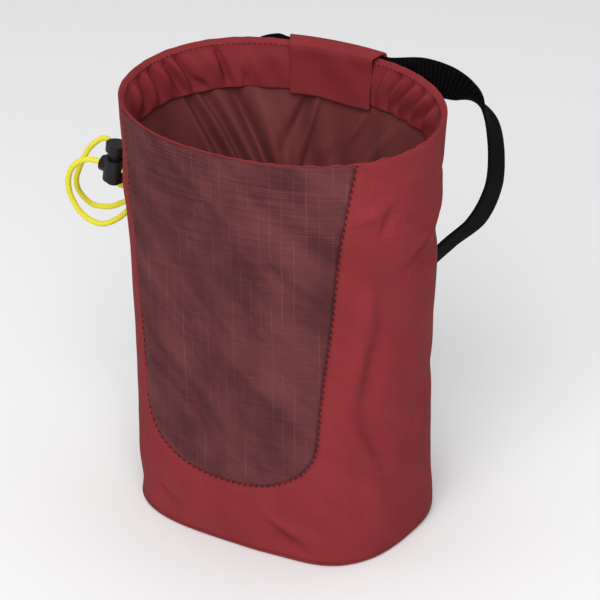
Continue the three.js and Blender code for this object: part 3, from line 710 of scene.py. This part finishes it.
def twill(name, dark, light, thread, roughness, sheen):
    """Smooth nylon lining with a fine diagonal weave."""
    s = Shader(name, roughness, specular=0.2, sheen=sheen)
    u, v = s.weave()
    diagonal = s.wave(s.add(u, s.times(v, 0.8)), thread)
    patches = s.noise(s.join(s.times(u, 0.05), s.times(v, 0.05)), 1.0, 2.0)
    tone = s.add(0.5, s.times(diagonal, 0.14), s.times(patches, 0.25))
    s.colour(s.mix(tone, dark, light))
    crinkle = s.noise(s.place(), 55.0, 2.0, 0.5)
    s.relief(s.add(s.times(diagonal, 0.02), s.times(crinkle, 0.14)))
    return s.material


def webbing(name):
    """Black webbing with ribs across it, each a row of small loops."""
    s = Shader(name, 0.85, specular=0.06)
    u, v = s.weave()
    rib = s.wave(v, 1.6)
    loops = s.wave(u, 0.9)
    knots = s.times(s.ramp(rib, -0.6, 0.8), s.ramp(loops, -0.7, 0.7, 0.3, 1.0))
    s.colour(s.mix(knots, (0.001, 0.001, 0.001, 1), (0.0055, 0.0055, 0.0058, 1)))
    s.relief(s.times(knots, 0.12))
    return s.material


def braid(name):
    """Braided cord: two sets of strands that cross."""
    s = Shader(name, 0.75, specular=0.12)
    u, v = s.weave()
    turns = s.times(u, 1.55 / (math.pi * CORD_DIAMETER) * 4)
    one = s.wave(s.add(turns, v), 1.55)
    other = s.wave(s.math("SUBTRACT", turns, v), 1.55)
    strands = s.math("MAXIMUM", one, other)
    s.colour(s.mix(s.ramp(strands, -0.4, 0.9), linear(212, 203, 52), linear(232, 224, 72)))
    s.relief(s.times(strands, 0.03))
    return s.material


def plastic(name):
    """Black moulded plastic with a fine spark-eroded grain."""
    s = Shader(name, 0.42, specular=0.25)
    grain = s.noise(s.place(), 2600.0, 2.0)
    blotch = s.noise(s.place(), 160.0, 2.0)
    s.colour(s.mix(s.add(0.5, blotch), (0.004, 0.004, 0.0043, 1), (0.008, 0.008, 0.0085, 1)))
    s.relief(s.add(s.times(grain, 0.012), s.times(blotch, 0.02)))
    return s.material


def thread(name, dark, light):
    """Twisted sewing thread."""
    s = Shader(name, 0.6, specular=0.3)
    u, v = s.weave()
    twist = s.wave(s.add(u, v), 0.5)
    s.colour(s.mix(s.ramp(twist, -1.0, 1.0), dark, light))
    s.relief(s.times(twist, 0.05))
    return s.material


# The camera and the drawcord come first


def add_camera():
    a, e = math.radians(CAMERA_AZIMUTH), math.radians(CAMERA_ELEVATION)
    back = Vector((math.sin(a) * math.cos(e), -math.cos(a) * math.cos(e), math.sin(e)))
    right = Vector((math.cos(a), math.sin(a), 0.0))
    up = back.cross(right)
    data = bpy.data.cameras.new("camera")
    data.lens = CAMERA_LENS
    data.shift_x, data.shift_y = CAMERA_SHIFT
    camera = bpy.data.objects.new("camera", data)
    place = Matrix((right, up, back)).transposed().to_4x4()
    place.translation = Vector(CAMERA_TARGET) + back * CAMERA_DISTANCE
    camera.matrix_world = place
    bpy.context.scene.collection.objects.link(camera)
    bpy.context.scene.camera = camera


def eyelet_axis(eyelet):
    angle = math.radians(eyelet[0])
    height = below_rim(angle, eyelet[1])
    inside = wall_point(angle, height, SHELL_CLOTH)[0]
    outside = wall_point(angle, height, 0.0)[0]
    direction = (outside - inside) / np.linalg.norm(outside - inside)
    return inside, outside, direction


def add_drawcord():
    axes = [eyelet_axis(eyelet) for eyelet in EYELETS]
    seats = [inside + direction * GAP for inside, _, direction in axes]
    leads = [outside + direction * CORD_LEAD for _, outside, direction in axes]
    route = [seats[0], leads[0], *np.array(CORD_ROUTE), leads[1], seats[1]]
    path = even_steps(catmull(route, 24), 0.4)

    def strands(run, turn):
        one = np.sin(4 * turn + run * 2 * math.pi / 1.55)
        other = np.sin(4 * turn - run * 2 * math.pi / 1.55)
        return 1 + 0.015 * np.maximum(one, other)

    cord = tube_mesh("drawcord_braid", path, CORD_DIAMETER / 2, 16, braid("cord"), strands)
    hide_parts("drawcord")


add_camera()
add_drawcord()


# Cloth

SEAM_SINK = 0.9
RIM_EDGE = 0.35
shell_look = ripstop(
    "shell",
    dark=linear(106, 32, 35),
    light=linear(147, 53, 57),
    line=linear(170, 74, 78),
    thread=0.85,
    rib_gap=4.0,
    rib_light=0.3,
    slub=0.2,
    mottle_and_undulation_shade=0.22,
    roughness=0.85,
)
panel_look = ripstop(
    "panel",
    dark=linear(56, 26, 28),
    light=linear(113, 60, 62),
    line=linear(162, 116, 116),
    thread=0.95,
    rib_gap=4.6,
    rib_light=0.5,
    slub=0.45,
    mottle_and_undulation_shade=0.5,
    roughness=0.85,
)
lining_look = twill("lining", linear(88, 36, 36), linear(126, 62, 60), 0.9, 0.7, 0.05)


def closed_angles(columns):
    return np.linspace(-math.pi, math.pi, columns + 1)


def add_shell():
    columns = 420
    angles = closed_angles(columns)
    top = below_rim(angles, RIM_EDGE - 0.8 * back_rise(angles))
    foot = (BASE_CLOTH + GAP) / HEIGHT
    share = np.linspace(0, 1, 150) ** 1.15
    height = foot + (top[None, :] - foot) * share[:, None]
    angle = np.broadcast_to(angles[None, :], height.shape)
    bare = wall_point(angle, height, 0.0)
    left, right = panel_edges(height)
    away = distance_to(bare, SEAM)
    under_panel = (height > PANEL_FOOT / HEIGHT) & (angle > left) & (angle < right)
    sink = np.where(under_panel, SEAM_SINK, SEAM_SINK * bump(away, 1.3))
    out = crease_depth(angle, bare[..., 2])
    out *= np.clip((bare[..., 2] - 1) / 8, 0, 1)
    near_rim = np.clip((1 - share[:, None]) * 20, 0, 1)
    points = wall_point(angle, height, sink - out * near_rim)
    cloth = np.stack([cloth_across(angle), bare[..., 2]], -1)
    hem_top = wall_point(angles, top - 0.012, SHELL_CLOTH)
    hem_foot = wall_point(angles, foot + 0.01, SHELL_CLOTH)
    lip_top = wall_point(angles, top, SHELL_CLOTH * 0.7)
    lip_foot = wall_point(angles, foot, SHELL_CLOTH * 0.7)
    points = np.concatenate([[hem_foot], [lip_foot], points, [lip_top], [hem_top]])
    cloth = np.concatenate([cloth[:1]] * 2 + [cloth] + [cloth[-1:]] * 2)
    shell = grid_mesh("shell_cloth", points[:, :-1], cloth, shell_look, wrap=True)
    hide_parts("side_shell")


def add_panel():
    foot, corner = PANEL_FOOT / HEIGHT, PANEL_CORNER / HEIGHT
    rows = np.concatenate(
        [
            foot + corner * (np.linspace(0.02, 1, 70) ** 2.4),
            np.linspace(foot + corner, 1.0, 120)[1:],
        ]
    )
    across = np.linspace(0, 1, 150)
    height = np.broadcast_to(rows[:, None], (len(rows), len(across))).copy()
    left, right = panel_edges(height)
    angle = left + (right - left) * across
    top = below_rim(angle, RIM_EDGE)
    height = foot + (height - foot) * (top - foot) / (1 - foot)
    bare = wall_point(angle, height, 0.0)
    away = distance_to(bare, SEAM)
    proud = 0.35 - (0.35 + SEAM_SINK * 1.05) * bump(away, 0.9)
    puckers = 0.12 * bump(away - 2.5, 2.5) * np.sin(bare[..., 2] * 2 * math.pi / 5.5 + 8 * angle)
    out = crease_depth(angle, bare[..., 2]) + puckers
    near_rim = np.clip((top - height) * 25, 0, 1)
    points = wall_point(angle, height, -(proud + out * near_rim))
    cloth = np.stack([cloth_across(angle), bare[..., 2]], -1)
    panel = grid_mesh("panel_cloth", points, cloth, panel_look)
    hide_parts("front_panel")


def add_base():
    columns = 240
    angles = closed_angles(columns)
    lip = edge_curl(BASE_CLOTH + GAP)
    rings = [(1.6, 2.2), (1.75, 0.4), (1.1, -0.1), (0.4, 0.4), (0.0, 1.6)]
    rings += [(0.0, inset) for inset in (4, 8, 14, 22, 30, 38)]
    points, cloth = [], []
    for z, inset in rings:
        x, y = plan_point(angles, 0.0, lip + inset)
        points.append(np.stack([x, y, np.full_like(x, z)], -1))
        cloth.append(np.stack([x, y], -1))
    centre = np.zeros_like(points[0])
    points.append(centre)
    cloth.append(np.zeros_like(cloth[0]))
    points, cloth = np.array(points), np.array(cloth)
    base = grid_mesh("base_cloth", points[:, :-1], cloth, shell_look, wrap=True, flip=True)
    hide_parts("base_panel")


BAND_OUTER = SHELL_CLOTH + GAP + LINING_CLOTH + GAP
BAND_INNER = BAND_OUTER + COLLAR_CLOTH
STITCH_DROP = 1.6
STITCH_INSET = 2.4


def gather_depth(angle, drop):
    """Inward ripple of the collar between its stitch line and its hem."""
    degrees = np.degrees(angle)
    strength = read_table(GATHERS, turn_between(0, degrees), 1)
    side = np.sign(np.sin(angle))
    slanted = degrees - side * 0.42 * drop
    mottle_and_undulation_shade = 9 * np.sin(np.radians(slanted) * 5 + 1.0) + 6 * np.sin(np.radians(slanted) * 11)
    phase = np.radians(slanted * 34 + mottle_and_undulation_shade * 6)
    main = 0.5 - 0.5 * np.cos(phase)
    fine = 0.5 - 0.5 * np.cos(phase * 1.9 + 1.3)
    grow = np.clip((drop - STITCH_DROP) / (COLLAR_DEPTH - STITCH_DROP), 0, 1)
    swell = grow**0.7
    return strength * (0.7 * main**1.5 * swell + 0.35 * fine * np.sin(np.pi * grow * 0.8))


def rim_wave(angle, amount):
    """The rim's slight rise and fall, stronger on the front right."""
    local = 0.35 + 0.9 * bump(turn_between(66, np.degrees(angle)), 30)
    return amount * local * (
        np.sin(angle * 44) * 0.55 + np.sin(angle * 27 + 1) * 0.35 + np.sin(angle * 71) * 0.25
    )


def back_rise(angle):
    """How much higher the rim stands at the back, on both sides of the tunnel."""
    degrees = np.degrees(angle)
    return 1.3 * bump(turn_between(-132, degrees), 34) + 0.8 * bump(turn_between(140, degrees), 26)


def add_collar():
    columns = 720
    angles = closed_angles(columns)
    section = [(1.0, 2.4), (0.45, 1.6), (0.1, 0.95), (0.02, 0.5), (0.12, 0.14)]
    section += [(0.35, -0.03), (0.7, 0.06), (1.1, 0.35), (1.6, 0.8), (2.05, 1.25)]
    section += [(STITCH_INSET, STITCH_DROP)]
    for drop in np.linspace(2.2, COLLAR_DEPTH - 0.3, 36):
        section.append((BAND_INNER - (BAND_INNER - STITCH_INSET) * bump(drop - 1.6, 4.0), drop))
    section += [(BAND_INNER - 0.25, COLLAR_DEPTH + 0.1), (BAND_INNER - 0.7, COLLAR_DEPTH + 0.15)]
    section += [(BAND_OUTER + 0.1, COLLAR_DEPTH - 0.2), (BAND_OUTER + 0.1, COLLAR_DEPTH - 3)]
    points, cloth = [], []
    run, last = 0.0, section[0]
    for inset, drop in section:
        run += math.hypot(inset - last[0], drop - last[1])
        last = (inset, drop)
        inner = drop > STITCH_DROP and inset > STITCH_INSET
        gather = gather_depth(angles, drop) if inner else 0.0
        hem = 0.25 * ripple(angles, drop * 0, 8, (6, 30), (40, 90), 11)
        lower = hem * np.clip((drop - 12) / 6, 0, 1)
        rise = rim_wave(angles, 0.35) * np.clip(1 - drop / 5, 0, 1)
        pull = 0.18 * np.sin(angles * 150) * bump(drop - STITCH_DROP, 0.6)
        bulge = 0.22 * ripple(angles, drop, 9, (8, 34), (10, 30), 17) * (inner * 1.0)
        z = rim_point(angles, drop, inset)[:, 2]
        clear = np.clip((drop - STITCH_DROP) / 2.5, 0, 1) * inner
        gather = gather + 1.35 * clear * line_relief(GATHER_LINES, angles, z)
        lower = lower - back_rise(angles) * np.clip(1 - drop / 10, 0, 1)
        points.append(rim_point(angles, drop + lower - rise, inset + gather + pull + bulge))
        cloth.append(np.stack([cloth_across(angles), np.full_like(angles, run)], -1))
    points, cloth = np.array(points), np.array(cloth)
    collar = grid_mesh("collar_cloth", points[:, :-1], cloth, shell_look, wrap=True)
    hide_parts("rim_collar")


def fold_depth(angle, height):
    degrees = np.degrees(angle)
    top = np.minimum(below_rim(angle, COLLAR_DEPTH + GAP), 0.9)
    down = np.clip(1 - height / top, 0, 1)
    fade = np.minimum(down / FOLD_START, 1) * np.minimum(height / FOLD_END, 1)
    depth = np.zeros(np.broadcast(angle, height).shape)
    for start, end, wide, deep in FOLDS:
        middle = start + (end - start) * down
        depth += deep * bump(turn_between(middle, degrees), wide)
    return FOLD_DEPTH * depth * fade


def add_lining():
    columns = 400
    angles = closed_angles(columns)
    top = below_rim(angles, LINING_TOP)
    floor = LINING_FLOOR / HEIGHT
    share = np.linspace(0, 1, 120)
    height = floor + (top[None, :] - floor) * share[:, None]
    angle = np.broadcast_to(angles[None, :], height.shape)
    inset = SHELL_CLOTH + GAP + LINING_CLOTH + fold_depth(angle, height)
    z = height * HEIGHT
    loose = np.clip((top - height) * 9, 0, 1)
    inset = inset + loose * (0.6 + 0.3 * ripple(angle, z, 12, (4, 16), (30, 120), 23))
    inset = inset + np.clip(loose * 3, 0, 1) * 1.8 * line_relief(LINING_LINES, angle, z)
    points = wall_point(angle, height, inset)
    points[0, :, 2] += LINING_CLOTH
    cloth = np.stack([cloth_across(angle), z], -1)
    low, mid = points[0].copy(), points[0].copy()
    mid[:, :2] *= 0.5
    centre = np.zeros_like(low)
    centre[:, 2] = low[:, 2]
    points = np.concatenate([[centre], [mid], points])
    flat = np.stack([low[:, :2] * 0, low[:, :2] * 0.5])
    cloth = np.concatenate([flat, cloth])
    lining = grid_mesh("lining_cloth", points[:, :-1], cloth, lining_look, wrap=True, flip=True)
    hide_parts("lining")


def back_angle(x):
    return math.pi - np.arctan2(x, RIM_DEPTH / 2)


TUNNEL_BELT_INSET = -(GAP + BELT_THICKNESS / 2)


def add_tunnel():
    half = TUNNEL_CLOTH / 2
    inside = BAND_INNER + 0.9
    outside = TUNNEL_BELT_INSET - BELT_THICKNESS / 2 - GAP - half
    over_rim = -(GAP + half)
    over_belt = -(BELT_RISE + GAP + half)
    below_belt = BELT_WIDTH - BELT_RISE + GAP + half
    path = [
        (inside + 0.5, TUNNEL_HEM),
        (inside + 0.2, TUNNEL_HEM * 0.75),
        (inside, TUNNEL_HEM / 2),
        (inside - 0.1, TUNNEL_HEM * 0.25),
        (inside, half),
        (inside - half, over_rim - GAP),
        (BAND_INNER / 2, (over_rim + over_belt) / 2 - GAP),
        (half, over_belt),
        (outside + half, over_belt),
        (outside, over_belt + TUNNEL_CLOTH),
        (outside, BELT_WIDTH / 2),
        (outside, below_belt),
        (-(GAP + half), below_belt + 2 * BELT_THICKNESS),
        (-(GAP + half), TUNNEL_HEM_OUTSIDE),
    ]
    flat = catmull([(inset, drop, 0.0) for inset, drop in path], 8)
    run = np.concatenate([[0], np.cumsum(np.linalg.norm(np.diff(flat, axis=0), axis=1))])
    across = np.linspace(-0.5, 0.5, 72)
    middle = bump(run - 11, 9)
    x = across[None, :] * (TUNNEL_WIDTH + 0.8 - 0.8 * middle[:, None]) - 1.4
    fray = 0.12 * np.sin(run * 7.0)[:, None] * (np.abs(across) > 0.49)
    x = x + fray
    edge = np.clip((np.abs(across) - 0.44) / 0.06, 0, 1)
    sag = 0.5 * np.sin(across * 9 + 0.6)[None, :] * bump(run - 14, 5)[:, None]
    swell = 0.35 * np.sin(across * 5 - 0.9)[None, :] * bump(run - 7, 6)[:, None]
    drop = flat[:, 1][:, None] + 0.5 * np.sin(across * 6)[None, :] * bump(run, 3)[:, None]
    inset = flat[:, 0][:, None] + sag + swell - 0.25 * edge[None, :] * middle[:, None]
    points = rim_point(back_angle(x), drop, inset)
    cloth = np.stack(np.broadcast_arrays(x, run[:, None]), -1)
    tunnel = grid_mesh("tunnel_cloth", points, cloth, shell_look, thickness=1.0)
    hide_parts("belt_tunnel")


def add_belt():
    def tunnel_point(x):
        return rim_point(back_angle(x), BELT_WIDTH / 2 - BELT_RISE, TUNNEL_BELT_INSET)[0]

    reach_out = TUNNEL_WIDTH / 2 + 2
    middles = [tunnel_point(x) for x in np.linspace(-reach_out, reach_out, 7)]
    turns = [0.0] * 7
    place = tunnel_point(0.0)
    for reach, drop, behind, turn in BELT_ROUTE:
        z = rim_height(place[1]) - drop * LOOP_DROP
        middles.append(np.array([reach * LOOP_REACH, place[1] + behind * LOOP_BEHIND, z]))
        turns.append(float(turn))
    samples = 16
    path = catmull(middles, samples, closed=True)
    count = len(middles)
    at = np.arange(len(path)) / samples
    turn = np.interp(at, np.arange(count + 1), turns + [turns[0]])
    turn = np.convolve(np.tile(turn, 3), np.ones(13) / 13, "same")[len(turn) : 2 * len(turn)]
    run = np.roll(path, -1, 0) - np.roll(path, 1, 0)
    run /= np.linalg.norm(run, axis=1)[:, None]
    radians = np.radians(turn)
    width = np.stack([np.zeros_like(radians), np.sin(radians), np.cos(radians)], -1)
    width -= run * (width * run).sum(1)[:, None]
    width /= np.linalg.norm(width, axis=1)[:, None]
    face = np.cross(run, width)
    length = np.concatenate([[0], np.cumsum(np.linalg.norm(np.diff(path, axis=0), axis=1))])
    half_wide, half_thick = BELT_WIDTH / 2, BELT_THICKNESS / 2
    across = np.linspace(-1, 1, 17)
    ring = [(a * half_wide, half_thick * (1 - 0.75 * abs(a) ** 8)) for a in across]
    ring += [(a * half_wide, -half_thick * (1 - 0.75 * abs(a) ** 8)) for a in across[::-1]]
    wide = np.array([r[0] for r in ring])
    thick = np.array([r[1] for r in ring])
    points = (
        path[:, None, :]
        + width[:, None, :] * wide[None, :, None]
        + face[:, None, :] * thick[None, :, None]
    )
    points = np.concatenate([points, points[:1]])
    total = length[-1] + np.linalg.norm(path[0] - path[-1])
    along = np.concatenate([length, [total]])
    cloth_u = np.concatenate([wide, wide[:1]])
    cloth = np.stack(np.broadcast_arrays(cloth_u[None, :], along[:, None]), -1)
    belt = grid_mesh("belt_webbing", points, cloth, webbing("webbing"), wrap=True)
    merge_close(belt)
    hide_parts("belt")


def merge_close(piece, distance=1e-6):
    """Closes a loop whose first and last rows lie on each other."""
    weld = piece.modifiers.new("close", "WELD")
    weld.merge_threshold = distance


def stitch_row(name, line, normals, length, gap, radius, look, lean=0.0):
    """Thread stitches along a line that lies on cloth, each a short arched bead."""
    gaps = np.linalg.norm(np.diff(line, axis=0), axis=1)
    run = np.concatenate([[0], np.cumsum(gaps)])
    count = int(run[-1] // (length + gap))
    vertices, faces, weave = [], [], []
    sides, rings = 8, 7

    def at(where, values):
        return np.array([np.interp(where, run, values[:, axis]) for axis in range(3)])

    for k in range(count):
        start = k * (length + gap)
        first = len(vertices)
        for r in range(rings):
            share = r / (rings - 1)
            place = at(start + share * length, line)
            up = at(start + share * length, normals)
            ahead = at(start + share * length + 0.3, line) - at(start + share * length - 0.3, line)
            ahead /= max(np.linalg.norm(ahead), 1e-9)
            side = np.cross(up, ahead)
            arch = math.sin(math.pi * share)
            place = place + up * (radius * (arch * 1.1 - 0.5)) + side * lean * (share - 0.5)
            size = radius * (0.35 + 0.65 * arch**0.6)
            for m in range(sides):
                turn = 2 * math.pi * m / sides
                vertices.append(place + (up * math.sin(turn) + side * math.cos(turn)) * size)
        for r in range(rings - 1):
            for m in range(sides):
                n = (m + 1) % sides
                a, b = first + r * sides + m, first + r * sides + n
                faces.append((a, a + sides, b + sides, b))
                u0, u1 = m * 0.25, (m + 1) * 0.25
                v0, v1 = r * length / 6, (r + 1) * length / 6
                weave += [(u0, v0), (u0, v1), (u1, v1), (u1, v0)]
        for r, order in ((0, 1), (rings - 1, -1)):
            ring = [first + r * sides + m for m in range(sides)][::order]
            faces.append(tuple(ring))
            weave += [(0.1 * m, 0.0) for m in range(sides)]
    mesh = bpy.data.meshes.new(name)
    mesh.from_pydata((np.array(vertices) * MM).tolist(), [], faces)
    store_weave(mesh, np.array(weave, np.float32))
    return finish_piece(name, mesh, look)


def add_stitching():
    red_thread = thread("red_thread", linear(72, 20, 26), linear(104, 34, 40))
    dark_thread = thread("dark_thread", linear(38, 14, 18), linear(72, 30, 34))
    angles = np.linspace(-math.pi, math.pi, 1600)
    drop = STITCH_DROP - back_rise(angles) * (1 - STITCH_DROP / 10)
    drop = drop - rim_wave(angles, 0.35) * (1 - STITCH_DROP / 5)
    line = rim_point(angles, drop, STITCH_INSET + 0.08)
    deeper = rim_point(angles, drop - 1.0, STITCH_INSET + 1.0)
    normals = deeper - line
    normals /= np.linalg.norm(normals, axis=1)[:, None]
    rim = stitch_row("rim_stitching", line, normals, 1.4, 0.7, 0.17, red_thread)
    seam = even_steps(SEAM, 0.4)
    outward = seam - np.array([0.0, -2.0, 0.0])
    outward[:, 2] = 0.0
    outward /= np.linalg.norm(outward, axis=1)[:, None]
    line = seam - outward * 0.3
    panel = stitch_row("panel_stitching", line, outward, 1.6, 1.0, 0.26, dark_thread, lean=0.4)


add_shell()
add_panel()
add_base()
add_collar()
add_lining()
add_tunnel()
add_belt()
add_stitching()


# Hard pieces


def dress_plastic():
    look = plastic("black_plastic")
    for name in ("belt_buckle", "cord_lock_body", "cord_lock_button"):
        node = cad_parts[name]
        node.data.materials.clear()
        node.data.materials.append(look)
        bevel = node.modifiers.new("edges", "BEVEL")
        bevel.width = 0.3 * MM
        bevel.segments = 2
        bevel.limit_method = "ANGLE"
        bevel.angle_limit = math.radians(40)
        bevel.harden_normals = True


dress_plastic()


# Floor and light


def add_floor():
    mesh = bpy.data.meshes.new("floor")
    half = 4.0
    corners = [(-half, -half, 0), (half, -half, 0), (half, half, 0), (-half, half, 0)]
    mesh.from_pydata(corners, [], [(0, 1, 2, 3)])
    floor = bpy.data.objects.new("floor", mesh)
    bpy.context.scene.collection.objects.link(floor)
    s = Shader("floor", 0.9, specular=0.0)
    grain = s.noise(s.place(), 900.0, 2.0)
    s.colour(s.mix(s.add(0.5, s.times(grain, 0.3)), (0.9, 0.9, 0.9, 1), (0.91, 0.91, 0.91, 1)))
    mesh.materials.append(s.material)


def add_light(name, place, size, power, target=(0.0, 0.0, 0.08)):
    data = bpy.data.lights.new(name, "AREA")
    data.size = size
    data.energy = power
    light = bpy.data.objects.new(name, data)
    light.location = place
    aim = Vector(place) - Vector(target)
    light.rotation_euler = aim.to_track_quat("Z", "Y").to_euler()
    bpy.context.scene.collection.objects.link(light)


def add_lighting():
    world = bpy.data.worlds.new("studio")
    world.use_nodes = True
    background = world.node_tree.nodes["Background"]
    background.inputs["Color"].default_value = (0.86, 0.86, 0.87, 1.0)
    background.inputs["Strength"].default_value = 0.5
    bpy.context.scene.world = world
    add_light("key", (0.42, -1.15, 1.15), 1.3, 23.0)
    add_light("top", (-0.1, 0.3, 1.6), 1.2, 5.0)
    bpy.context.scene.view_settings.view_transform = "Standard"


add_floor()
add_lighting()
